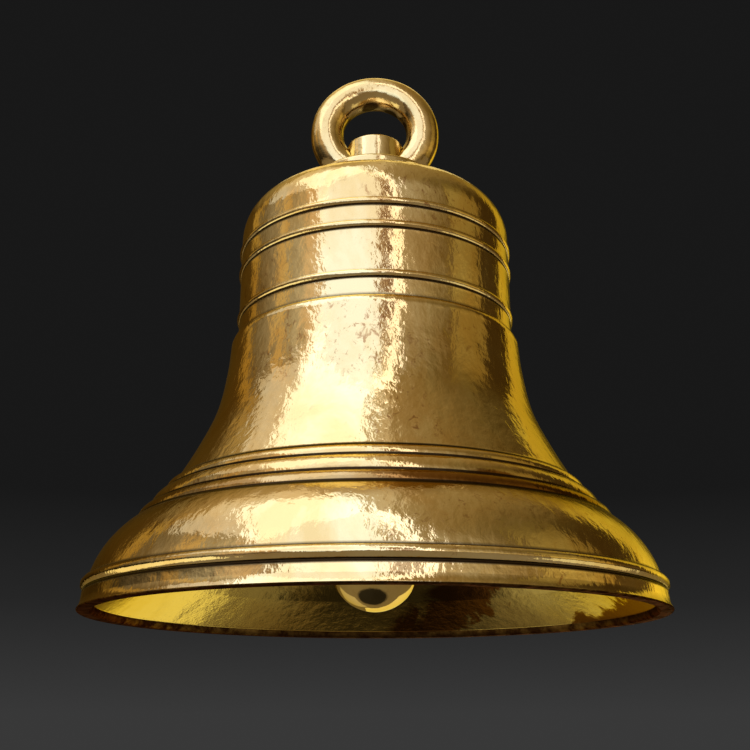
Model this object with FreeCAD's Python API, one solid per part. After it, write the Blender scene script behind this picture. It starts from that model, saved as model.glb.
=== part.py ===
import FreeCAD, Part
import math
import os

# A church bell that hangs from a crown ring, with its clapper inside.
#
# Units are millimetres. The origin is the centre of the mouth in the plane of the lip, so the bell
# stands on z = 0. Z is up and is the bell's axis. The clapper swings in the X-Z plane: Y is the axis
# of the crown ring and of the clapper's pivot.

# ---- driving dimensions ---------------------------------------------------------------------------

# Casting: outside, from the lip to the crown
MOUTH_R = 300.0
LIP_FLAT_R = 287.5          # inner edge of the flat that the bell stands on
LIP_BAND_R = 296.0
LIP_BAND_TOP = 20.0
BOW_FOOT_R = 291.5          # the sound bow is the thick ring of metal that the clapper strikes
BOW_FOOT_Z = 31.5
BOW_TOP_R = 249.0
BOW_TOP_Z = 91.5
WAIST_FOOT_R = 213.5
WAIST_FOOT_Z = 130.5
WAIST_TOP_R = 161.0
WAIST_TOP_Z = 288.0
BELT_R = 154.0
BELT_Z = 300.0
BELT_RIDGES = (320.0, 375.0, 401.0)     # underside of each raised line round the belt
RIDGE_HEIGHT = 7.0
RIDGE_PROUD = 2.2
SHOULDER_Z = 423.0
SHOULDER_ROUND = 50.0
SEAT_R = 72.0               # flat seat on the crown
SEAT_Z = 482.0

# Casting: inside
CROWN_UNDER_Z = 462.0
CROWN_UNDER_R = 92.0
CHAMBER_R = 139.5           # inside of the belt
BORE_R = 26.0               # hole through the crown for the eye bolt

# Crown
PAD_THICK = 3.0
PLATE_R = 72.0
PLATE_TOP_Z = 509.0
RING_MEAN_R = 58.0
RING_STOCK_R = 20.0
RING_Z = 575.0
HEAD_R = 33.0               # round head of the eye bolt, which the ring passes through
HEAD_TOP_Z = 558.0
STUD_R = 15.0               # M30 thread inside the bell
DOWEL_R = 5.0
DOWEL_DEPTH = 12.0
PLATE_DOWEL_Y = 50.0

# Clapper hanger
STAPLE_DOWEL_X = 46.0
FLANGE_R = 60.0
FLANGE_THICK = 12.0
CHEEK_THICK = 12.0
CHEEK_INNER_Y = 28.0
CHEEK_ROUND = 26.0          # end radius of each cheek, round the pivot
PIVOT_Z = 386.0
PIVOT_R = 10.0              # M20 pivot bolt
PIVOT_WASHER_R = 18.5
PIVOT_WASHER_THICK = 3.0
PIVOT_FLATS = 30.0
PIVOT_HEAD = 13.0
PIVOT_NUT_HEIGHT = 18.0
CROWN_WASHER_THICK = 4.0
CROWN_NUT_FLATS = 46.0
CROWN_NUT_HEIGHT = 24.0
CROWN_SLOT = 8.0            # depth of the slots in the crown nut
PIVOT_SLOT = 6.0
CROWN_PIN_R = 2.6           # split pins
PIVOT_PIN_R = 2.1
PIN_REACH = 3.0             # how far a split pin stands out of its nut

# Clapper
EYE_R = 24.0
EYE_HALF_WIDTH = 24.0
BUSH_R = 14.0
RUNNING_CLEARANCE = 0.06
SIDE_CLEARANCE = 0.4
SHAFT_TOP_R = 11.0
SHAFT_FOOT_R = 13.0
SPIGOT_R = 10.0             # threaded end of the shaft, inside the ball
BALL_R = 47.0
BALL_Z = 53.0
BALL_FLAT = 43.0            # height of the flat on top of the ball above its centre
BALL_PIN_R = 3.0
BALL_PIN_RISE = 16.0        # height of the retaining pin above the ball's centre
LOCK_NUT_FLATS = 32.0
LOCK_NUT_HEIGHT = 14.0

UP = FreeCAD.Vector(0, 0, 1)
ALONG = FreeCAD.Vector(1, 0, 0)
ACROSS = FreeCAD.Vector(0, 1, 0)
CENTRE = FreeCAD.Vector(0, 0, 0)

# ---- levels that follow ---------------------------------------------------------------------------

PLATE_Z = SEAT_Z + PAD_THICK
FLANGE_TOP_Z = CROWN_UNDER_Z - PAD_THICK
FLANGE_Z = FLANGE_TOP_Z - FLANGE_THICK
WASHER_Z = FLANGE_Z - CROWN_WASHER_THICK
CROWN_NUT_Z = WASHER_Z - CROWN_NUT_HEIGHT
CROWN_PIN_Z = CROWN_NUT_Z + CROWN_SLOT / 2
STUD_END_Z = CROWN_NUT_Z - 2.0
CHEEK_OUTER_Y = CHEEK_INNER_Y + CHEEK_THICK
PIVOT_NUT_Y = CHEEK_OUTER_Y + PIVOT_WASHER_THICK
PIVOT_PIN_Y = PIVOT_NUT_Y + PIVOT_NUT_HEIGHT - PIVOT_SLOT / 2
BALL_TOP_Z = BALL_Z + BALL_FLAT
SPIGOT_Z = BALL_Z - 12.0


# ---- drawing helpers ------------------------------------------------------------------------------

class Outline:
    """A closed outline in the half-plane of radius and height, drawn one edge after another."""

    def __init__(self, r, z):
        self.start = FreeCAD.Vector(r, 0, z)
        self.pen = self.start
        self.edges = []

    def line(self, r, z):
        end = FreeCAD.Vector(r, 0, z)
        self.edges.append(Part.LineSegment(self.pen, end).toShape())
        self.pen = end
        return self

    def arc(self, r, z, proud):
        """An arc to (r, z) whose middle stands proud of the chord, to the right of its direction."""
        end = FreeCAD.Vector(r, 0, z)
        chord = end - self.pen
        right = FreeCAD.Vector(chord.z, 0, -chord.x).normalize()
        middle = (self.pen + end) * 0.5 + right * proud
        self.edges.append(Part.Arc(self.pen, middle, end).toShape())
        self.pen = end
        return self

    def curve(self, *stations):
        """A smooth curve through the stations, each given as (r, z)."""
        points = [self.pen] + [FreeCAD.Vector(r, 0, z) for r, z in stations]
        spline = Part.BSplineCurve()
        spline.interpolate(points)
        self.edges.append(spline.toShape())
        self.pen = points[-1]
        return self

    def turned(self):
        """The solid that the outline sweeps in one full turn about Z."""
        if self.pen.distanceToPoint(self.start) > 1e-6:
            self.line(self.start.x, self.start.z)
        face = Part.Face(Part.Wire(self.edges))
        return face.revolve(CENTRE, UP, 360)


def disc(radius, low, high, hole=0.0, edge=0.0):
    """A round plate about Z with an optional centre hole and chamfered rims."""
    outline = Outline(hole, low).line(radius - edge, low)
    if edge:
        outline.line(radius, low + edge).line(radius, high - edge)
        outline.line(radius - edge, high)
    else:
        outline.line(radius, high)
    return outline.line(hole, high).turned()


def rod(radius, start, end):
    """A plain round bar between two points."""
    run = end - start
    return Part.makeCylinder(radius, run.Length, start, run)


def turned_to_y(shape, x, y, z):
    """A shape made about +Z, laid along +Y and moved to a place."""
    shape.rotate(CENTRE, ALONG, -90)
    shape.translate(FreeCAD.Vector(x, y, z))
    return shape


def hexagon(flats, low, high, bore=0.0):
    """A hexagonal nut or bolt head about Z, with two flats facing X and its corners turned off."""
    corner = flats / math.sqrt(3)
    turns = [(k + 0.5) * math.pi / 3 for k in range(7)]
    ring = [FreeCAD.Vector(corner * math.cos(turn), corner * math.sin(turn), low) for turn in turns]
    prism = Part.Face(Part.makePolygon(ring)).extrude(FreeCAD.Vector(0, 0, high - low))
    body = prism.common(disc(corner, low, high, edge=0.08 * flats))
    if bore:
        body = body.cut(disc(bore, low - 1, high + 1))
    return body


def castle_nut(flats, height, bore, pin_r, slot_depth):
    """A nut about Z from z = 0, with slots across its top for a split pin."""
    nut = hexagon(flats, 0, height, bore)
    slot_width = 2.08 * pin_r
    for turn in (0, 60, 120):
        slot = Part.makeBox(2 * flats, slot_width, slot_depth + 1,
                            FreeCAD.Vector(-flats, -slot_width / 2, height - slot_depth))
        slot.rotate(CENTRE, UP, turn)
        nut = nut.cut(slot)
    return nut


def split_pin(radius, reach):
    """A split pin along X through the origin: round shank, eye on the +X side, bent legs on the -X."""
    shank = rod(radius, FreeCAD.Vector(-reach, 0, 0), FreeCAD.Vector(reach, 0, 0))
    eye_r = 2.2 * radius
    eye = Part.makeTorus(eye_r, 0.62 * radius, FreeCAD.Vector(reach + eye_r, 0, 0), ACROSS)
    pin = shank.fuse(eye)
    for side in (-1, 1):
        knee = FreeCAD.Vector(-reach + radius, 0, side * 0.25 * radius)
        toe = FreeCAD.Vector(-reach - 1.2 * radius, 0, side * 3.2 * radius)
        pin = pin.fuse(rod(0.6 * radius, knee, toe))
    return pin.removeSplitter()


def pair(shape, mirror_axis=ACROSS):
    """The shape and its mirror image across the bell's axis, as one group of separate solids."""
    return Part.makeCompound([shape, shape.mirror(CENTRE, mirror_axis)])


# ---- crown ----------------------------------------------------------------------------------------

def ring_stock():
    """The closed ring of round bar, standing upright about Y."""
    return Part.makeTorus(RING_MEAN_R, RING_STOCK_R, FreeCAD.Vector(0, 0, RING_Z), ACROSS)


def crown_ring():
    """One closed ring of round bar, welded shut after it is threaded through the eye bolt."""
    return ring_stock()


def crown_eye_bolt():
    """Round head bored for the ring, a shank through plate and crown, and a threaded stud."""
    bolt = Outline(0, STUD_END_Z).line(STUD_R - 2, STUD_END_Z).line(STUD_R, STUD_END_Z + 2)
    bolt.line(STUD_R, FLANGE_TOP_Z).line(BORE_R, FLANGE_TOP_Z)
    bolt.line(BORE_R, PLATE_TOP_Z).line(HEAD_R, PLATE_TOP_Z).line(HEAD_R, HEAD_TOP_Z - 2.5)
    bolt.arc(HEAD_R - 2.5, HEAD_TOP_Z, 0.75).line(0, HEAD_TOP_Z)
    hole = rod(CROWN_PIN_R, FreeCAD.Vector(-HEAD_R, 0, CROWN_PIN_Z), FreeCAD.Vector(HEAD_R, 0, CROWN_PIN_Z))
    return bolt.turned().cut(ring_stock()).cut(hole)


def crown_plate():
    """Turned disc on the crown, grooved across its top for the foot of the ring."""
    return disc(PLATE_R, PLATE_Z, PLATE_TOP_Z, BORE_R, 1.5).cut(ring_stock()).cut(plate_dowels())


def plate_dowels():
    """Two dowels that keep the plate and the ring in line with the clapper's swing."""
    low, high = SEAT_Z - DOWEL_DEPTH, PLATE_Z + DOWEL_DEPTH
    return pair(rod(DOWEL_R, FreeCAD.Vector(0, PLATE_DOWEL_Y, low), FreeCAD.Vector(0, PLATE_DOWEL_Y, high)))


def crown_pad():
    """Leather washer between plate and casting."""
    return disc(PLATE_R - 1.5, SEAT_Z, PLATE_Z, BORE_R).cut(plate_dowels())


# ---- casting --------------------------------------------------------------------------------------

def bell_outside(outline):
    """Draws the outside from the lip up to the crown seat."""
    outline.line(MOUTH_R - 1.5, 0).arc(MOUTH_R, 1.5, 0.4)
    outline.arc(LIP_BAND_R + 0.8, 9, -0.6).line(LIP_BAND_R, LIP_BAND_TOP)
    outline.arc(BOW_FOOT_R, BOW_FOOT_Z, 4.8)
    outline.arc(BOW_TOP_R, BOW_TOP_Z, 7.0)
    outline.arc(236.5, 103, 3.5).arc(222.5, 120.5, 4.0).arc(WAIST_FOOT_R, WAIST_FOOT_Z, 3.6)
    outline.curve((193, 167.5), (173.5, 211), (163.8, 259), (WAIST_TOP_R, WAIST_TOP_Z))
    outline.arc(BELT_R, BELT_Z, 2.2)
    for ridge in BELT_RIDGES:
        outline.line(BELT_R, ridge).arc(BELT_R, ridge + RIDGE_HEIGHT, RIDGE_PROUD)
    outline.line(BELT_R, SHOULDER_Z)
    turn = math.radians(72)
    end_r = BELT_R - SHOULDER_ROUND * (1 - math.cos(turn))
    end_z = SHOULDER_Z + SHOULDER_ROUND * math.sin(turn)
    outline.arc(end_r, end_z, SHOULDER_ROUND * (1 - math.cos(turn / 2)))
    outline.arc(SEAT_R, SEAT_Z, 0.8)


def bell_inside(outline):
    """Draws the inside from the crown down to the lip."""
    outline.line(BORE_R, CROWN_UNDER_Z).line(CROWN_UNDER_R, CROWN_UNDER_Z)
    outline.arc(CHAMBER_R, 414, -13.0).line(CHAMBER_R + 1, 318)
    outline.curve((149, 260), (160, 210), (177, 166), (199, 121))
    outline.arc(244, 41, 6.0).line(284, 8).arc(LIP_FLAT_R, 0, 1.2)


def bell_body():
    """The cast bell, one solid from the lip to the crown, bored for the eye bolt and the dowels."""
    outline = Outline(LIP_FLAT_R, 0)
    bell_outside(outline)
    outline.line(BORE_R, SEAT_Z)
    bell_inside(outline)
    return outline.turned().cut(plate_dowels()).cut(staple_dowels())


# ---- clapper hanger -------------------------------------------------------------------------------

def inner_pad():
    """Leather washer between the casting and the clapper staple."""
    return disc(FLANGE_R + 4, FLANGE_TOP_Z, CROWN_UNDER_Z, BORE_R).cut(staple_dowels())


def staple_dowels():
    """Two dowels that stop the staple from turning in the bell."""
    low, high = FLANGE_Z, CROWN_UNDER_Z + DOWEL_DEPTH
    pin = rod(DOWEL_R, FreeCAD.Vector(STAPLE_DOWEL_X, 0, low), FreeCAD.Vector(STAPLE_DOWEL_X, 0, high))
    return pair(pin, ALONG)


def clapper_staple():
    """Forged hanger: a round flange under the crown and two cheeks down to the pivot."""
    cheek = Part.makeBox(2 * CHEEK_ROUND, CHEEK_THICK, FLANGE_Z - PIVOT_Z + 1,
                         FreeCAD.Vector(-CHEEK_ROUND, CHEEK_INNER_Y, PIVOT_Z))
    boss = rod(CHEEK_ROUND, FreeCAD.Vector(0, CHEEK_INNER_Y, PIVOT_Z),
               FreeCAD.Vector(0, CHEEK_OUTER_Y, PIVOT_Z))
    cheek = cheek.fuse(boss)
    staple = disc(FLANGE_R, FLANGE_Z, FLANGE_TOP_Z, STUD_R, 1.5)
    staple = staple.fuse([cheek, cheek.mirror(CENTRE, ACROSS)]).removeSplitter()
    pivot_hole = rod(PIVOT_R, FreeCAD.Vector(0, -CHEEK_OUTER_Y - 1, PIVOT_Z),
                     FreeCAD.Vector(0, CHEEK_OUTER_Y + 1, PIVOT_Z))
    return staple.cut(pivot_hole).cut(staple_dowels())


def crown_washer():
    """Thick washer between the staple's flange and the crown nut."""
    return disc(CHEEK_INNER_Y - 0.5, WASHER_Z, FLANGE_Z, STUD_R, 0.6)


def crown_nut():
    """Slotted nut that clamps the staple, the casting and the crown plate on the eye bolt."""
    nut = castle_nut(CROWN_NUT_FLATS, CROWN_NUT_HEIGHT, STUD_R, CROWN_PIN_R, CROWN_SLOT)
    nut.rotate(CENTRE, ALONG, 180)
    nut.translate(FreeCAD.Vector(0, 0, WASHER_Z))
    return nut


def crown_split_pin():
    """Split pin through the eye bolt's stud and two slots of its nut."""
    pin = split_pin(CROWN_PIN_R, CROWN_NUT_FLATS / 2 + PIN_REACH)
    pin.translate(FreeCAD.Vector(0, 0, CROWN_PIN_Z))
    return pin


def pivot_bolt():
    """Hexagon bolt along Y that the clapper swings on. Its head is on the -Y side."""
    length = 2 * PIVOT_NUT_Y + PIVOT_NUT_HEIGHT + PIN_REACH
    shank = disc(PIVOT_R, 0, length, edge=1.5)
    bolt = shank.fuse(hexagon(PIVOT_FLATS, -PIVOT_HEAD, 0)).removeSplitter()
    bolt = turned_to_y(bolt, 0, -PIVOT_NUT_Y, PIVOT_Z)
    hole = rod(PIVOT_PIN_R, FreeCAD.Vector(-EYE_R, PIVOT_PIN_Y, PIVOT_Z),
               FreeCAD.Vector(EYE_R, PIVOT_PIN_Y, PIVOT_Z))
    return bolt.cut(hole)


def pivot_washers():
    """One plain washer under the bolt head and one under the nut."""
    washer = disc(PIVOT_WASHER_R, 0, PIVOT_WASHER_THICK, PIVOT_R, 0.5)
    return pair(turned_to_y(washer, 0, CHEEK_OUTER_Y, PIVOT_Z))


def pivot_nut():
    """Slotted nut on the +Y end of the pivot bolt."""
    nut = castle_nut(PIVOT_FLATS, PIVOT_NUT_HEIGHT, PIVOT_R, PIVOT_PIN_R, PIVOT_SLOT)
    return turned_to_y(nut, 0, PIVOT_NUT_Y, PIVOT_Z)


def pivot_split_pin():
    """Split pin through the pivot bolt and two slots of its nut."""
    pin = split_pin(PIVOT_PIN_R, PIVOT_FLATS / 2 + PIN_REACH)
    pin.translate(FreeCAD.Vector(0, PIVOT_PIN_Y, PIVOT_Z))
    return pin


def thrust_washers():
    """A washer inside each cheek, which keeps the clapper's eye central."""
    thick = CHEEK_INNER_Y - EYE_HALF_WIDTH - SIDE_CLEARANCE
    washer = disc(EYE_R - 2, 0, thick, PIVOT_R, 0.5)
    return pair(turned_to_y(washer, 0, CHEEK_INNER_Y - thick, PIVOT_Z))


# ---- clapper --------------------------------------------------------------------------------------

def clapper_shaft():
    """Forged shaft with an eye at the top and a threaded spigot inside the ball."""
    eye = turned_to_y(disc(EYE_R, -EYE_HALF_WIDTH, EYE_HALF_WIDTH, edge=2.0), 0, 0, PIVOT_Z)
    thread_top = BALL_TOP_Z + LOCK_NUT_HEIGHT + 1
    stem = Outline(0, SPIGOT_Z).line(SPIGOT_R, SPIGOT_Z).line(SPIGOT_R, thread_top)
    stem.line(SHAFT_FOOT_R, thread_top + 6).line(SHAFT_TOP_R, PIVOT_Z - 60)
    stem.arc(EYE_R - 4, PIVOT_Z - 14, -4.0).line(0, PIVOT_Z - 14)
    bore = rod(BUSH_R, FreeCAD.Vector(0, -EYE_HALF_WIDTH - 1, PIVOT_Z),
               FreeCAD.Vector(0, EYE_HALF_WIDTH + 1, PIVOT_Z))
    shaft = eye.fuse(stem.turned()).removeSplitter()
    return shaft.cut(bore).cut(ball_retaining_pin())


def clapper_bush():
    """Bronze bush pressed in the eye, running on the pivot bolt."""
    bush = disc(BUSH_R, -EYE_HALF_WIDTH, EYE_HALF_WIDTH, PIVOT_R + RUNNING_CLEARANCE)
    return turned_to_y(bush, 0, 0, PIVOT_Z)


def ball_retaining_pin():
    """Pin along X through the ball and the spigot, dressed flush with the ball."""
    height = BALL_Z + BALL_PIN_RISE
    pin = rod(BALL_PIN_R, FreeCAD.Vector(-BALL_R, 0, height), FreeCAD.Vector(BALL_R, 0, height))
    return pin.common(Part.makeSphere(BALL_R, FreeCAD.Vector(0, 0, BALL_Z)))


def clapper_ball():
    """The striking ball, flat on top under its lock nut and tapped from above for the spigot."""
    flat_r = math.sqrt(BALL_R ** 2 - BALL_FLAT ** 2)
    half_turn = math.pi / 2 + math.asin(BALL_FLAT / BALL_R)
    ball = Outline(0, BALL_Z - BALL_R).arc(flat_r, BALL_TOP_Z, BALL_R * (1 - math.cos(half_turn / 2)))
    ball.line(SPIGOT_R, BALL_TOP_Z).line(SPIGOT_R, SPIGOT_Z).line(0, SPIGOT_Z)
    return ball.turned().cut(ball_retaining_pin())


def ball_lock_nut():
    """Hexagon nut that locks the ball on the spigot's thread."""
    return hexagon(LOCK_NUT_FLATS, BALL_TOP_Z, BALL_TOP_Z + LOCK_NUT_HEIGHT, SPIGOT_R)


# ---- the set --------------------------------------------------------------------------------------

NODES = (
    bell_body,
    crown_ring,
    crown_eye_bolt,
    crown_plate,
    crown_pad,
    plate_dowels,
    inner_pad,
    clapper_staple,
    staple_dowels,
    crown_washer,
    crown_nut,
    crown_split_pin,
    pivot_bolt,
    pivot_washers,
    pivot_nut,
    pivot_split_pin,
    thrust_washers,
    clapper_shaft,
    clapper_bush,
    clapper_ball,
    ball_lock_nut,
    ball_retaining_pin,
)


def main():
    os.makedirs("parts", exist_ok=True)
    for make in NODES:
        name = make.__name__
        shape = make()
        shape.exportStep(f"parts/{name}.step")
        print(f"{name:20s} solids {len(shape.Solids)}  valid {shape.isValid()}  "
              f"volume {shape.Volume / 1000:.1f} cm3")


main()
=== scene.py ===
import bisect
import math

import bmesh
import bpy
from mathutils import Matrix, Quaternion, Vector, noise


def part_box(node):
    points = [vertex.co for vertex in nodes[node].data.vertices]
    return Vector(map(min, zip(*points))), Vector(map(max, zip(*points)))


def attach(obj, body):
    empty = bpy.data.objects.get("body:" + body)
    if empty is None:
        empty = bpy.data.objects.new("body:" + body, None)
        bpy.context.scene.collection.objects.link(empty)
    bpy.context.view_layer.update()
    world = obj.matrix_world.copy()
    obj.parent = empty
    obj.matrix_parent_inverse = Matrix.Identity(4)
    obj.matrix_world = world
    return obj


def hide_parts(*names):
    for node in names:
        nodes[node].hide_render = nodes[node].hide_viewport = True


# A church bell of polished brass with its crown ring and clapper. Outlines, and numbers whose name
# ends in _MM, are in millimetres, and every other length is in metres.

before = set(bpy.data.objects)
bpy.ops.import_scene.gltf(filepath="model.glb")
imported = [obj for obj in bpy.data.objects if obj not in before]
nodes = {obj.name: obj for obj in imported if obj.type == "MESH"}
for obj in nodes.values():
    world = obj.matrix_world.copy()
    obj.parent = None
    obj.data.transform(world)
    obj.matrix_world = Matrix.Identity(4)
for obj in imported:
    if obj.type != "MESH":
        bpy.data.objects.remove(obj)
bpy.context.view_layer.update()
scene = bpy.context.scene
MM = 0.001

# ---- camera ---------------------------------------------------------------------------------------

CAMERA_PLACE = (0.0, -1.075, -0.094)
CAMERA_PITCH_UP = 18.55
CAMERA_LENS_MM = 48.43


def make_camera():
    data = bpy.data.cameras.new("camera")
    data.lens = CAMERA_LENS_MM
    camera = bpy.data.objects.new("camera", data)
    scene.collection.objects.link(camera)
    camera.location = CAMERA_PLACE
    camera.rotation_euler = (math.radians(90 + CAMERA_PITCH_UP), 0, 0)
    scene.camera = camera


# ---- outlines -------------------------------------------------------------------------------------

class Outline:
    """Points of an outline in radius and height, in millimetres, sampled closely at its corners."""

    CORNER_MM = 0.5
    WIDEST_TURN = 0.9

    def __init__(self, r, z, step=4.0):
        self.points = [Vector((r, z))]
        self.step = step

    def spread(self, path, length):
        """Adds points along a path, given as a function of 0 to 1, with one close to each end."""
        count = max(2, round(length / self.step))
        near = min(0.25 / count, self.CORNER_MM / length)
        shares = [near] + [k / count for k in range(1, count)] + [1 - near, 1]
        self.points += [path(share) for share in shares]
        return self

    def line(self, r, z):
        start, end = self.points[-1], Vector((r, z))
        return self.spread(lambda t: start.lerp(end, t), (end - start).length)

    def arc(self, r, z, proud):
        """An arc to (r, z) whose middle stands proud of the chord, to the right of its direction.

        A tight one is sampled by its turn, in radians, and a wide one by its length."""
        start, end = self.points[-1], Vector((r, z))
        chord = end - start
        right = Vector((chord.y, -chord.x)).normalized()
        half = chord.length / 2
        radius = (half ** 2 + proud ** 2) / (2 * proud)
        centre = (start + end) / 2 + right * (proud - radius)
        sweep = 4 * math.atan(proud / half)

        def on_arc(t):
            turn = Matrix.Rotation(sweep * t, 2)
            return centre + turn @ (start - centre)

        return self.spread(on_arc, abs(sweep) * max(abs(radius), self.step / self.WIDEST_TURN))

    def curve(self, *stations, steps=8):
        """A smooth curve through the stations, each given as (r, z)."""
        knots = [self.points[-1]] + [Vector(s) for s in stations]
        before, after = 2 * knots[0] - knots[1], 2 * knots[-1] - knots[-2]
        chain = [before] + knots + [after]
        for k in range(1, len(chain) - 2):
            self.points += [catmull_rom(chain[k - 1:k + 3], t / steps) for t in range(1, steps + 1)]
        return self


def catmull_rom(four, t):
    """A point between the middle two of four points, on the centripetal curve through them."""
    a, b, c, d = four
    times = [0.0]
    for start, end in zip(four, four[1:]):
        times.append(times[-1] + math.sqrt((end - start).length))
    t0, t1, t2, t3 = times
    now = t1 + (t2 - t1) * t
    ab = a.lerp(b, (now - t0) / (t1 - t0))
    bc = b.lerp(c, (now - t1) / (t2 - t1))
    cd = c.lerp(d, (now - t2) / (t3 - t2))
    return ab.lerp(bc, (now - t0) / (t2 - t0)).lerp(bc.lerp(cd, (now - t1) / (t3 - t1)),
                                                    (now - t1) / (t2 - t1))


def new_piece(name, bm, body, material, replaced):
    """Makes a finished mesh object that rides on a CAD body and stands for CAD nodes."""
    mesh = bpy.data.meshes.new(name)
    bmesh.ops.recalc_face_normals(bm, faces=bm.faces)
    bm.to_mesh(mesh)
    bm.free()
    mesh.polygons.foreach_set("use_smooth", [True] * len(mesh.polygons))
    mesh.update()
    piece = bpy.data.objects.new(name, mesh)
    scene.collection.objects.link(piece)
    mesh.materials.append(material)
    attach(piece, body)
    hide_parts(*replaced)
    return piece


HOLLOW_REACH = 0.005
LESS_SHADE_REACH = 0.003
LESS_SHADE_SHARE = 0.35


def hollows(points):
    """How far each outline point lies in a hollow, in millimetres, or stands on an edge, below 0."""
    along = [0.0]
    for start, end in zip(points, points[1:]):
        along.append(along[-1] + (end - start).length)
    depths = []
    for place, here in zip(along, points):
        low = max(0, bisect.bisect_left(along, place - HOLLOW_REACH))
        high = min(len(points) - 1, bisect.bisect_right(along, place + HOLLOW_REACH))
        chord = points[high] - points[low]
        right = Vector((chord.y, -chord.x)).normalized() if chord.length else Vector((0, 0))
        depths.append(((points[low] + points[high]) / 2 - here).dot(right) / MM)
    return depths


def turned(outline, segments, closed=True, paler=()):
    """A mesh that sweeps the outline about Z.

    Its hollow attribute says how deep a hollow is, which sets how dark the painted shade is there.
    Near the heights given in millimetres in the last argument, less painted shade is kept."""
    bm = bmesh.new()
    hollow = bm.verts.layers.float.new("hollow")
    points = [p * MM for p in outline.points]
    if closed:
        points = points[:-1] if (points[0] - points[-1]).length < 1e-7 else points
    rings = []
    for p, depth in zip(points, hollows(points)):
        if p.x < 1e-6:
            rings.append([bm.verts.new((0, 0, p.y))] * segments)
            continue
        rings.append([bm.verts.new((p.x * math.cos(2 * math.pi * k / segments),
                                    p.x * math.sin(2 * math.pi * k / segments), p.y))
                      for k in range(segments)])
        # Less painted shade near these heights, where the hollows face up.
        if any(abs(p.y - height * MM) < LESS_SHADE_REACH for height in paler):
            depth *= LESS_SHADE_SHARE
        for v in rings[-1]:
            v[hollow] = depth
    pairs = list(zip(rings, rings[1:]))
    if closed:
        pairs.append((rings[-1], rings[0]))
    for low, high in pairs:
        for k in range(segments):
            corners = [low[k], low[(k + 1) % segments], high[(k + 1) % segments], high[k]]
            unique = list(dict.fromkeys(corners))
            if len(unique) > 2:
                bm.faces.new(unique)
    return bm


def work_over(bm, scale, amount, keep=None):
    """Moves the surface in by up to an amount, unevenly, as hand finishing leaves it."""
    bmesh.ops.recalc_face_normals(bm, faces=bm.faces)
    bm.normal_update()
    moves = []
    for v in bm.verts:
        rough = 0.5 - 0.5 * noise.noise(v.co / scale) - 0.15 * noise.noise(v.co / scale * 2.7)
        share = keep(v.co) if keep else 1.0
        moves.append(-v.normal * amount * max(0.0, rough) * share)
    for v, move in zip(bm.verts, moves):
        v.co += move


# ---- materials ------------------------------------------------------------------------------------

class Nodes:
    """A short way to write a node tree."""

    def __init__(self, tree):
        self.tree = tree

    def add(self, kind, inputs=None, **settings):
        node = self.tree.nodes.new("ShaderNode" + kind)
        for key, value in settings.items():
            setattr(node, key, value)
        for key, value in (inputs or {}).items():
            self.set(node.inputs[key], value)
        return node

    def set(self, socket, value):
        if isinstance(value, bpy.types.NodeSocket):
            self.tree.links.new(value, socket)
        else:
            socket.default_value = value

    def place(self, scale=(1, 1, 1)):
        """Object coordinates, stretched."""
        where = self.add("TexCoord").outputs["Object"]
        return self.add("Mapping", {"Vector": where, "Scale": scale}).outputs["Vector"]

    def noise(self, place, scale, detail=4.0, roughness=0.55, distortion=0.0):
        return self.add("TexNoise", {"Vector": place, "Scale": scale, "Detail": detail,
                                     "Roughness": roughness, "Distortion": distortion}).outputs["Fac"]

    def ramp(self, value, *stops):
        node = self.add("ValToRGB", {"Fac": value})
        elements = node.color_ramp.elements
        while len(elements) < len(stops):
            elements.new(0.5)
        for element, (position, colour) in zip(elements, stops):
            element.position = position
            element.color = (*colour, 1)
        return node.outputs["Color"]

    def math(self, operation, a, b=0.0):
        node = self.add("Math", operation=operation)
        self.set(node.inputs[0], a)
        self.set(node.inputs[1], b)
        return node.outputs["Value"]

    def mix(self, factor, a, b, blend="MIX"):
        node = self.add("Mix", data_type="RGBA", blend_type=blend)
        self.set(node.inputs["Factor"], factor)
        self.set(node.inputs["A"], a if isinstance(a, bpy.types.NodeSocket) else (*a, 1))
        self.set(node.inputs["B"], b if isinstance(b, bpy.types.NodeSocket) else (*b, 1))
        return node.outputs["Result"]

    def bump(self, height, strength, distance, under=None):
        inputs = {"Height": height, "Strength": strength, "Distance": distance}
        if under is not None:
            inputs["Normal"] = under
        return self.add("Bump", inputs).outputs["Normal"]


class Finish(Nodes):
    """The node tree of a new material, which ends in its Principled shader."""

    def __init__(self, name):
        self.material = bpy.data.materials.new(name)
        self.material.use_nodes = True
        super().__init__(self.material.node_tree)
        self.shader = self.tree.nodes["Principled BSDF"]

    def finish(self, **sockets):
        for name, value in sockets.items():
            self.set(self.shader.inputs[name.replace("_", " ")], value)
        return self.material


def grey(value):
    return (value, value, value)


# Colours that the brasses share: tarnished brown with a painted dark reflection, painted shade in
# hollows, and what each turns to at a grazing angle, where plain metal would turn white.
TARNISH_AND_REFLECTION_BROWN = (0.28, 0.12, 0.025)
HOLLOW_SHADE_BLACK = (0.030, 0.015, 0.007)
GRAZING_POLISHED = (0.92, 0.83, 0.42, 1)
GRAZING_CAST = (0.80, 0.62, 0.22, 1)
GRAZING_LIP = (0.24, 0.14, 0.06, 1)


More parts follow.
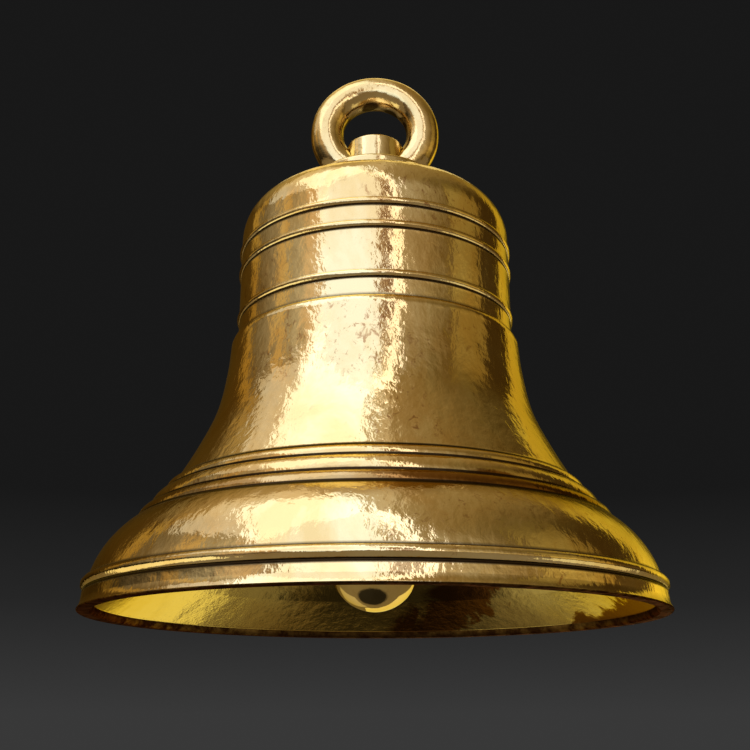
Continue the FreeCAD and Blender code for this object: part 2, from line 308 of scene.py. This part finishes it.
def tarnish_and_dark_reflection(n):
    """Where the bell is tarnished brown, with a painted dark reflection: a ragged band on top of the
    sound bow, below the beads.

    It starts at about 73 mm, is full from 93 to 105 mm, ends at 108 mm, and is stronger on the right.
    The ramps over height cover 200 mm."""
    per_metre = 5
    where = n.add("SeparateXYZ", {"Vector": n.place()})
    ragged = n.math("SUBTRACT", n.noise(n.place((1, 1, 2)), 14, 6, 0.65), 0.5)
    height = n.math("ADD", where.outputs["Z"], n.math("MULTIPLY", ragged, 0.03))
    height = n.math("MULTIPLY", height, per_metre)
    above = n.ramp(height, (0.073 * per_metre, grey(0)), (0.093 * per_metre, grey(1)))
    below = n.ramp(height, (0.105 * per_metre, grey(1)), (0.108 * per_metre, grey(0)))
    across = n.math("ADD", n.math("MULTIPLY", where.outputs["X"], 2), 0.5)
    stronger_right = n.ramp(across, (0.42, grey(0.5)), (0.56, grey(0.95)))
    return n.math("MULTIPLY", n.math("MULTIPLY", above, below), stronger_right)


def brass(name, pale, deep, brown, stain_and_dark_band=1.0, hammer=1.0, polish=0.07):
    """Hand-polished brass: soft hammering, ragged buffing marks, cloudy colour, brown stains, and
    painted shade in its hollows.

    The amount after brown sets its stains and its tarnished band with painted dark reflection,
    hammer how uneven it is, polish its least roughness."""
    n = Finish(name)
    even = n.place()
    upright = n.place((1, 1, 0.75))
    dents = n.noise(even, 13, 2, 0.5)
    ripples = n.noise(even, 45, 2, 0.5)
    buffing = n.noise(upright, 115, 3, 0.55, 0.2)
    tone = n.noise(upright, 9, 6, 0.62, 0.4)
    colour = n.mix(n.ramp(tone, (0.40, grey(0)), (0.58, grey(1))), deep, pale)
    clouds = n.ramp(n.noise(n.place((1, 1, 0.6)), 5, 8, 0.68, 0.6), (0.50, grey(0)), (0.57, grey(1)))
    colour = n.mix(n.math("MULTIPLY", clouds, 0.7), colour, deep)
    speckle = n.ramp(n.noise(upright, 120, 5, 0.7, 0.8), (0.56, grey(0)), (0.64, grey(1)))
    where = n.ramp(n.noise(even, 8, 5, 0.62), (0.50, grey(0)), (0.62, grey(1)))
    stain = n.math("MULTIPLY", n.math("MULTIPLY", speckle, where), 0.7 * stain_and_dark_band)
    colour = n.mix(stain, colour, brown)
    hollow = n.add("Attribute", attribute_name="hollow").outputs["Fac"]
    # Painted shade: the deeper hollows darken to near black.
    shade_in_hollows = n.math("MULTIPLY", n.ramp(hollow, (0.40, grey(0)), (0.95, grey(1))), 0.97)
    # Tarnished brown with a painted dark reflection, in a band on top of the sound bow.
    colour = n.mix(n.math("MULTIPLY", tarnish_and_dark_reflection(n), stain_and_dark_band), colour, TARNISH_AND_REFLECTION_BROWN)
    colour = n.mix(shade_in_hollows, colour, HOLLOW_SHADE_BLACK)
    roughness = n.ramp(buffing, (0.35, grey(polish)), (0.7, grey(2 * polish)))
    roughness = n.math("ADD", roughness, n.math("MULTIPLY", shade_in_hollows, 0.35))
    normal = n.bump(dents, 1.0, 0.8 * MM * hammer)
    normal = n.bump(ripples, 1.0, 0.7 * MM * hammer, normal)
    normal = n.bump(buffing, 1.0, 0.5 * MM * hammer, normal)
    return n.finish(Base_Color=colour, Metallic=1.0, Roughness=roughness, Normal=normal,
                    Specular_Tint=GRAZING_POLISHED)


def cast_brass(name):
    """The unpolished inside of the casting: olive-brown with lighter khaki in ragged patches, which
    are painted reflections and painted shade.

    The patches follow each other from left to right, along a line that leans with height."""
    n = Finish(name)
    even = n.place()
    ripples = n.noise(even, 30, 2, 0.5)
    grain = n.noise(even, 160, 4, 0.6)
    tone = n.noise(even, 6, 7, 0.66, 0.5)
    where = n.add("SeparateXYZ", {"Vector": even})
    lean = -1.2
    across = n.math("ADD", where.outputs["X"], n.math("MULTIPLY", where.outputs["Z"], lean))
    ragged = n.math("MULTIPLY", n.math("SUBTRACT", n.noise(even, 20, 7, 0.70, 0.5), 0.5), 0.17)
    across = n.math("ADD", n.math("MULTIPLY", n.math("ADD", across, ragged), 1.5), 0.5)
    # Painted reflections and painted shade: khaki bands where the inside reflects light, brown bands
    # where it reflects dark.
    khaki, olive, brown = (0.80, 0.64, 0.20), (0.66, 0.46, 0.12), (0.20, 0.085, 0.02)
    paler, dimmer_khaki = (0.58, 0.47, 0.17), (0.50, 0.40, 0.14)
    colour = n.ramp(across, (0.18, khaki), (0.30, olive), (0.50, olive), (0.54, brown),
                    (0.655, brown), (0.67, paler), (0.83, dimmer_khaki), (0.845, brown))
    colour = n.mix(n.ramp(tone, (0.38, grey(0.35)), (0.55, grey(0))), colour, brown)
    roughness = n.ramp(tone, (0.40, grey(0.22)), (0.60, grey(0.12)))
    dull = n.ramp(across, (0.83, grey(0)), (0.85, grey(1)))
    roughness = n.math("ADD", roughness, n.math("MULTIPLY", dull, 0.4))
    normal = n.bump(ripples, 1.0, 1.0 * MM)
    normal = n.bump(grain, 1.0, 0.4 * MM, normal)
    return n.finish(Base_Color=colour, Metallic=1.0, Roughness=roughness, Normal=normal,
                    Specular_Tint=GRAZING_CAST)


def lip_brass(name):
    """The rim that the bell is stood on: dull and scuffed, and dark, partly from use and partly as
    painted shade.
    """
    n = Finish(name)
    even = n.place()
    scuffs = n.noise(even, 60, 6, 0.7)
    # Dark colour, partly from use and partly painted shade.
    colour = n.ramp(scuffs, (0.42, (0.05, 0.022, 0.008)), (0.70, (0.20, 0.12, 0.04)))
    normal = n.bump(scuffs, 1.0, 0.6 * MM)
    roughness = n.ramp(scuffs, (0.40, grey(0.60)), (0.60, grey(0.40)))
    return n.finish(Base_Color=colour, Metallic=1.0, Roughness=roughness, Normal=normal,
                    Specular_Tint=GRAZING_LIP)


def steel(name, light, dark, roughness, pitted=0.25):
    """Forged or turned steel with mottled oxide and small pits."""
    n = Finish(name)
    even = n.place()
    patches = n.noise(even, 45, 6, 0.65)
    pits = n.noise(even, 330, 4, 0.7)
    colour = n.mix(n.ramp(patches, (0.38, grey(0)), (0.66, grey(1))), dark, light)
    rough = n.ramp(patches, (0.3, grey(roughness + 0.12)), (0.7, grey(roughness)))
    normal = n.bump(patches, pitted, 1.0 * MM)
    normal = n.bump(pits, pitted, 0.4 * MM, normal)
    return n.finish(Base_Color=colour, Metallic=1.0, Roughness=rough, Normal=normal)


def leather(name):
    """Compressed belt leather: fine grain, darker where oil has soaked in."""
    n = Finish(name)
    even = n.place()
    cells = n.add("TexVoronoi", {"Vector": even, "Scale": 900.0}).outputs["Distance"]
    stain = n.noise(even, 30, 5, 0.6)
    colour = n.mix(stain, (0.10, 0.05, 0.025), (0.26, 0.14, 0.07))
    normal = n.bump(cells, 0.4, 0.6 * MM)
    return n.finish(Base_Color=colour, Roughness=n.ramp(stain, (0.3, grey(0.55)), (0.7, grey(0.8))),
                    Normal=normal)


# ---- pieces ---------------------------------------------------------------------------------------

BORE_MM = 26
CROWN_TOP_MM = 482
CROWN_UNDERSIDE_MM = 462
BELT_MM = 154
BELT_FOOT_MM = 300
RIDGES_MM = (320, 375, 401)
RIDGE_HIGH_MM = 7
SHOULDER_MM = 423
LIP_INSIDE_MM = 287.5
LIP_BEVEL_MM = (284, 8)
SEGMENTS = 264


def bell_outside():
    """The casting's section from the inner edge of the lip's flat, up the outside to the bore."""
    o = Outline(LIP_INSIDE_MM, 0)
    o.line(298.5, 0).arc(300, 1.5, 0.4).arc(296.8, 9, -0.6).line(296, 18)
    o.arc(295.6, 20, -1.1).arc(291.5, 31.5, 4.8).arc(249, 91.5, 7.0)
    o.arc(236.5, 103, 3.5).arc(222.5, 120.5, 4.0).arc(213.5, 130.5, 3.6)
    o.curve((193, 167.5), (173.5, 211), (163.8, 259), (161, 288)).arc(BELT_MM, BELT_FOOT_MM, 2.2)
    for ridge in RIDGES_MM:
        o.line(BELT_MM, ridge - 2).arc(BELT_MM, ridge, -1.1)
        o.arc(BELT_MM, ridge + RIDGE_HIGH_MM, 2.2)
    o.line(BELT_MM, SHOULDER_MM)
    turn, radius = math.radians(72), 50
    o.arc(BELT_MM - radius * (1 - math.cos(turn)), SHOULDER_MM + radius * math.sin(turn),
          radius * (1 - math.cos(turn / 2)))
    return o.arc(72, CROWN_TOP_MM, 0.8).line(BORE_MM, CROWN_TOP_MM)


def bell_inside():
    """The section from the bore, down the inside and back to the lip's flat."""
    o = Outline(BORE_MM, CROWN_TOP_MM).line(BORE_MM, CROWN_UNDERSIDE_MM)
    o.line(92, CROWN_UNDERSIDE_MM).arc(139.5, 414, -13).line(140.5, 318)
    o.curve((149, 260), (160, 210), (177, 166), (199, 121)).arc(244, 41, 6)
    return o.line(*LIP_BEVEL_MM).arc(LIP_INSIDE_MM, 0, 1.2)


def make_bell(polished, cast, worn_and_shaded):
    """The casting: polished outside, as cast inside with painted reflection and shade bands, and
    scuffed and darkened, partly as painted shade, on the lip's flat and inner bevel.
    """
    outline, inside = bell_outside(), bell_inside()
    rows_outside = len(outline.points) - 1
    outline.points += inside.points[1:]
    # Heights where the hollows face up and get less painted shade.
    paler = [5, 9, 31.5, BELT_FOOT_MM] + [ridge + RIDGE_HIGH_MM for ridge in RIDGES_MM]
    bm = turned(outline, SEGMENTS, paler=paler)
    polished_index, cast_index, worn_and_shaded_index = range(3)
    bm.faces.ensure_lookup_table()
    for k, face in enumerate(bm.faces):
        middle = face.calc_center_median()
        outside = k < rows_outside * SEGMENTS
        bevel = middle.xy.length > LIP_BEVEL_MM[0] * MM and middle.z < LIP_BEVEL_MM[1] * MM
        # The lip's flat and inner bevel: scuffed, and dark partly as painted shade.
        if middle.z < 1.6 * MM or bevel and not outside:
            face.material_index = worn_and_shaded_index
        else:
            face.material_index = polished_index if outside else cast_index

    def away_from_lip(place):
        return min(1.0, max(0.0, (place.z - 0.004) / 0.02))

    work_over(bm, 0.05, 0.4 * MM, away_from_lip)
    bell = new_piece("bell_casting", bm, "bell", polished, ["bell_body"])
    bell.data.materials.append(cast)
    bell.data.materials.append(worn_and_shaded)


def torus(mean, stock, height, round_steps, stock_steps):
    """A ring about Y, standing upright, from its mean radius, its stock's and its centre's height.

    Its hollow attribute gives patchy painted shade on the stock's side that faces the middle
    of the eye."""
    facing_eye, patch = 0.72, 0.018
    bm = bmesh.new()
    hollow = bm.verts.layers.float.new("hollow")
    rows = []
    for k in range(round_steps):
        turn = 2 * math.pi * k / round_steps
        outward = Vector((math.cos(turn), 0, math.sin(turn)))
        row = []
        for j in range(stock_steps):
            about = 2 * math.pi * j / stock_steps
            place = outward * (mean + stock * math.cos(about)) + Vector((0, stock * math.sin(about), 0))
            row.append(bm.verts.new(place + Vector((0, 0, height))))
            inward = max(0.0, -math.cos(about) - facing_eye) / (1 - facing_eye)
            row[-1][hollow] = inward * (0.9 + 1.2 * noise.noise(place / patch))
        rows.append(row)
    for k in range(round_steps):
        for j in range(stock_steps):
            a, b = rows[k], rows[(k + 1) % round_steps]
            i = (j + 1) % stock_steps
            bm.faces.new((a[j], b[j], b[i], a[i]))
    return bm


CLEARANCE_MM = 0.2


def ring_stock(spare=0.0):
    """The crown ring's torus, with its size read from the frame and some spare on its stock."""
    low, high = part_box("crown_ring")
    stock = (high.y - low.y) / 2
    mean = (high.x - low.x) / 2 - stock
    return torus(mean, stock + spare, (low.z + high.z) / 2, 192, 72)


def make_ring(material):
    bm = ring_stock()
    work_over(bm, 0.022, 0.5 * MM)
    new_piece("hanging_ring", bm, "bell", material, ["crown_ring"])


def carve_for_ring(piece):
    """Cuts the ring's way through a piece, with some clearance."""
    mesh = bpy.data.meshes.new("cutter")
    bm = ring_stock(CLEARANCE_MM * MM)
    bmesh.ops.recalc_face_normals(bm, faces=bm.faces)
    bm.to_mesh(mesh)
    bm.free()
    cutter = bpy.data.objects.new("cutter", mesh)
    scene.collection.objects.link(cutter)
    cut = piece.modifiers.new("ring", "BOOLEAN")
    cut.operation = "DIFFERENCE"
    cut.solver = "EXACT"
    cut.object = cutter
    carved = bpy.data.meshes.new_from_object(piece.evaluated_get(bpy.context.evaluated_depsgraph_get()))
    piece.modifiers.clear()
    piece.data = carved
    bpy.data.objects.remove(cutter)


def make_eye_bolt(material):
    """The bolt's round head, with a soft edge and two fine turned lines, on its shank and stud."""
    low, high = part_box("crown_eye_bolt")
    foot, top, head = low.z / MM, high.z / MM, high.x / MM
    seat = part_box("crown_plate")[1].z / MM
    shank, stud = BORE_MM - CLEARANCE_MM, 15
    shank_foot = 459
    o = Outline(0, foot, step=3.0).line(stud - 2, foot).line(stud, foot + 2)
    o.line(stud, shank_foot).line(shank, shank_foot)
    o.line(shank, seat).line(head - 0.6, seat).line(head, seat + 0.6)
    for line in (seat + 4, seat + 7.5):
        o.line(head, line).arc(head, line + 1.2, -0.5)
    o.line(head, top - 3).arc(head - 3, top, 0.9).line(0, top)
    bolt = new_piece("eye_bolt", turned(o, 192, closed=False), "bell", material,
                     ["crown_eye_bolt"])
    carve_for_ring(bolt)


def make_plate(material):
    """The turned plate under the ring, with a rounded rim and fine turned lines."""
    low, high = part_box("crown_plate")
    foot, top, rim = low.z / MM, high.z / MM, high.x / MM
    o = Outline(BORE_MM, foot, step=3.0).line(rim - 1, foot).arc(rim, foot + 1, 0.3)
    o.line(rim, foot + 5).arc(rim, foot + 7, -0.7).line(rim, top - 4)
    o.arc(rim - 4, top, 1.2).line(44, top).arc(42, top, -0.5)
    o.line(BORE_MM, top).line(BORE_MM, foot)
    plate = new_piece("crown_disc", turned(o, 256), "bell", material, ["crown_plate"])
    carve_for_ring(plate)


def make_ball(material):
    """The ball, with a flat on top and a hole in it for the shaft's end."""
    low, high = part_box("clapper_ball")
    radius = (high.x - low.x) / 2 / MM
    centre = low.z / MM + radius
    top = high.z / MM
    flat = math.sqrt(radius ** 2 - (top - centre) ** 2)
    turn = math.pi / 2 + math.asin((top - centre) / radius)
    hole, hole_deep = 10, 10
    o = Outline(0, centre - radius, step=2.0)
    o.arc(flat, top, radius * (1 - math.cos(turn / 2)))
    o.line(hole, top).line(hole, top - hole_deep).line(0, top - hole_deep)
    bm = turned(o, 160, closed=False)
    work_over(bm, 0.02, 0.15 * MM)
    new_piece("striking_ball", bm, "clapper", material, ["clapper_ball"])


def repaint(material, slot_name, *names):
    """Gives CAD nodes that keep their own shape a finished material."""
    for name in names:
        node = nodes[name]
        node.data.materials.clear()
        node.data.materials.append(material)


# ---- studio ---------------------------------------------------------------------------------------

DAYLIGHT, SKY_BLUE, LAMP = (0.96, 1.0, 1.08), (0.47, 0.62, 0.80), (1.0, 0.9, 0.7)
YELLOW, PALE_YELLOW, DEEP_YELLOW = (1.0, 0.92, 0.5), (1.0, 0.90, 0.55), (1.0, 0.90, 0.42)
NEAR = 1.3
PANELS_OFF_THE_FLOOR = [
    dict(name="key", azimuth=-26, elevation=40, wide=42, high=94, radiance=1.1, colour=SKY_BLUE, roll=25),
    dict(name="key_edge", azimuth=15, elevation=34, wide=7, high=60, radiance=1.1, colour=DAYLIGHT,
         roll=10),
    dict(name="low_front", azimuth=-6, elevation=9, wide=54, high=12, radiance=0.28, colour=DAYLIGHT),
    dict(name="low_right", azimuth=80, elevation=-25, wide=40, high=22, radiance=0.4, colour=YELLOW,
         reach=NEAR),
    dict(name="low_left", azimuth=-80, elevation=-25, wide=50, high=26, radiance=0.7, colour=YELLOW,
         reach=NEAR),
    dict(name="low_back_right", azimuth=160, elevation=-34, wide=46, high=38, radiance=0.62,
         colour=DEEP_YELLOW, reach=NEAR),
    dict(name="low_back_left", azimuth=-144, elevation=-42, wide=26, high=30, radiance=0.28,
         colour=PALE_YELLOW, reach=NEAR)]
PANELS_ON_THE_FLOOR = [
    dict(name="high_left", azimuth=-72, elevation=58, wide=50, high=44, radiance=0.30, colour=DAYLIGHT),
    dict(name="behind", azimuth=180, elevation=56, wide=30, high=24, radiance=0.5, colour=LAMP)]

# The walls that the brass reflects: an azimuth from the front, in degrees, then red, green and blue.
WALLS = [(-180, 0.05, 0.030, 0.008), (-127, 0.08, 0.045, 0.012), (-122, 0.40, 0.25, 0.06),
         (-117, 0.40, 0.25, 0.06), (-113, 0.14, 0.10, 0.05), (-90, 0.30, 0.24, 0.15),
         (-84, 0.60, 0.41, 0.16), (-79, 0.60, 0.41, 0.16), (-75, 0.34, 0.28, 0.18),
         (-62, 0.50, 0.42, 0.28), (-56, 0.72, 0.52, 0.30), (-46, 0.68, 0.51, 0.32),
         (-40, 0.50, 0.38, 0.25), (7, 0.50, 0.36, 0.22), (9, 0.20, 0.10, 0.05), (22, 0.44, 0.37, 0.25),
         (45, 0.28, 0.21, 0.10), (64, 0.14, 0.09, 0.025), (68, 0.30, 0.215, 0.06),
         (95, 0.23, 0.155, 0.035), (100, 0.05, 0.03, 0.008), (126, 0.05, 0.03, 0.008),
         (130, 0.60, 0.45, 0.06), (148, 0.50, 0.38, 0.05), (156, 0.07, 0.05, 0.008)]
# The ceiling above them: a place from the left, 0, to the right, 1, then red, green and blue.
CEILING = [(0.0, 0.12, 0.08, 0.03), (0.22, 0.42, 0.31, 0.16), (0.38, 0.50, 0.39, 0.24),
           (0.47, 0.56, 0.46, 0.30), (0.53, 0.60, 0.50, 0.34), (0.57, 0.34, 0.25, 0.12),
           (0.70, 0.24, 0.165, 0.06), (0.85, 0.09, 0.06, 0.015), (1.0, 0.05, 0.03, 0.01)]
SOFT_GREY = 0.45
FLOOR_HALF, FLOOR_DROP = 18.0, -0.9
SHADE_LEFT = -0.10


def softbox(name, azimuth, elevation, wide, high, radiance, colour, roll=0.0, reach=2.4):
    """A soft light panel that faces the bell, with its place and size as angles seen from the bell.

    Azimuth 0 is towards the front, positive to the right. Roll leans the panel's top to the left."""
    data = bpy.data.lights.new(name, "AREA")
    data.shape = "RECTANGLE"
    data.size = 2 * reach * math.tan(math.radians(wide / 2))
    data.size_y = 2 * reach * math.tan(math.radians(high / 2))
    data.energy = 4 * radiance * data.size * data.size_y
    data.color = colour
    light = bpy.data.objects.new(name, data)
    scene.collection.objects.link(light)
    turn, rise = math.radians(azimuth), math.radians(elevation)
    way = Vector((math.sin(turn) * math.cos(rise), -math.cos(turn) * math.cos(rise), math.sin(rise)))
    light.location = Vector((0, 0, 0.25)) + way * reach
    facing = way.to_track_quat("Z", "Y") @ Quaternion((0, 0, 1), math.radians(roll))
    light.rotation_euler = facing.to_euler()
    light.visible_camera = False
    return light


def make_room():
    """The dark studio round the bell.

    The camera sees it in neutral grey, soft light from it is neutral too, and brass reflects its warm
    walls and ceiling."""
    world = bpy.data.worlds.new("studio")
    scene.world = world
    world.use_nodes = True
    n = Nodes(world.node_tree)
    way = n.add("SeparateXYZ", {"Vector": n.add("TexCoord").outputs["Generated"]})
    x, y, z = (way.outputs[axis] for axis in "XYZ")
    turn = n.math("ARCTAN2", x, n.math("MULTIPLY", y, -1.0))
    share = n.math("ADD", n.math("DIVIDE", turn, 2 * math.pi), 0.5)
    walls = n.ramp(share, *[(0.5 + azimuth / 360, colour) for azimuth, *colour in WALLS])
    height = n.ramp(z, (0.0, grey(0.3)), (0.13, grey(1)), (0.32, grey(1)))
    low = n.ramp(z, (0.15, grey(1)), (0.40, grey(0)))
    brighter_right = n.math("ADD", n.math("MULTIPLY", n.math("ADD", x, 0.12), low), 1.0)
    height = n.math("MULTIPLY", height, brighter_right)
    across = n.math("ADD", n.math("MULTIPLY", x, 0.5), 0.5)
    ceiling = n.ramp(across, *[(place, colour) for place, *colour in CEILING])
    warm = n.mix(1.0, walls, height, "MULTIPLY")
    warm = n.mix(n.ramp(z, (0.55, grey(0)), (0.80, grey(1))), warm, ceiling)
    cool = n.ramp(z, (0.0, grey(0.040)), (0.1, grey(0.019)), (0.2, grey(0.0094)))
    ray = n.add("LightPath").outputs
    colour = n.mix(ray["Is Diffuse Ray"], warm, grey(SOFT_GREY))
    colour = n.mix(ray["Is Camera Ray"], colour, cool)
    n.set(world.node_tree.nodes["Background"].inputs["Color"], colour)


def shade_under_bell(n):
    """The floor's colour: pale, with a soft shade under the bell, and warmer and darker in the brass."""
    middle = (SHADE_LEFT, 0.0, FLOOR_DROP)
    away = n.add("VectorMath", {0: n.place(), 1: middle}, operation="DISTANCE").outputs["Value"]
    reflected = n.ramp(away, (0.45, grey(0.018)), (0.56, (0.45, 0.37, 0.225)))
    looked_at = n.ramp(away, (0.30, grey(0.35)), (0.90, grey(0.80)))
    return n.mix(n.add("LightPath").outputs["Is Camera Ray"], reflected, looked_at)


def make_floor():
    n = Finish("studio_floor")
    n.finish(Base_Color=shade_under_bell(n), Roughness=0.6)
    corners = [(x * FLOOR_HALF, y * FLOOR_HALF, FLOOR_DROP)
               for x, y in ((-1, -1), (1, -1), (1, 1), (-1, 1))]
    mesh = bpy.data.meshes.new("floor")
    mesh.from_pydata(corners, [], [(0, 1, 2, 3)])
    mesh.materials.append(n.material)
    floor = bpy.data.objects.new("floor", mesh)
    scene.collection.objects.link(floor)
    return floor


def make_studio():
    """The room, the floor and the light panels, most of which leave the floor unlit."""
    scene.view_settings.view_transform = "Standard"
    make_room()
    floor = make_floor()
    unlit = bpy.data.collections.new("not_lit_by_key")
    unlit.objects.link(floor)
    unlit.collection_objects[0].light_linking.link_state = "EXCLUDE"
    for panel in PANELS_OFF_THE_FLOOR:
        softbox(**panel).light_linking.receiver_collection = unlit
    for panel in PANELS_ON_THE_FLOOR:
        softbox(**panel)


# ---- the scene ------------------------------------------------------------------------------------

make_camera()
make_studio()

bell_brass = brass("bell_brass", pale=(0.94, 0.77, 0.46), deep=(0.84, 0.60, 0.28),
                   brown=(0.36, 0.14, 0.05))
crown_brass = brass("crown_brass", pale=(0.90, 0.72, 0.40), deep=(0.80, 0.58, 0.27),
                    brown=(0.36, 0.14, 0.05), stain_and_dark_band=0.6, hammer=0.7, polish=0.10)
ball_brass = brass("ball_brass", pale=(0.88, 0.68, 0.30), deep=(0.76, 0.54, 0.20),
                   brown=(0.2, 0.1, 0.04), stain_and_dark_band=0.3, hammer=0.2, polish=0.05)
make_bell(bell_brass, cast_brass("inside_brass"), lip_brass("lip_brass"))
make_ring(crown_brass)
make_eye_bolt(crown_brass)
make_plate(crown_brass)
make_ball(ball_brass)
repaint(ball_brass, "ball_brass", "ball_retaining_pin")
bronze = brass("bush_bronze", pale=(0.60, 0.38, 0.20), deep=(0.42, 0.25, 0.12),
               brown=(0.1, 0.05, 0.02), stain_and_dark_band=0.6, hammer=0.2)
repaint(bronze, "bush_bronze", "clapper_bush", "thrust_washers")
forged = steel("forged_steel", light=(0.16, 0.15, 0.14), dark=(0.05, 0.045, 0.04), roughness=0.45)
repaint(forged, "forged_steel", "clapper_staple", "clapper_shaft")
bright = steel("bright_steel", light=(0.55, 0.55, 0.54), dark=(0.32, 0.31, 0.30), roughness=0.3,
               pitted=0.1)
repaint(bright, "bright_steel", "plate_dowels", "staple_dowels", "crown_washer", "crown_nut",
        "crown_split_pin", "pivot_bolt", "pivot_washers", "pivot_nut", "pivot_split_pin",
        "ball_lock_nut")
repaint(leather("leather"), "leather", "crown_pad", "inner_pad")
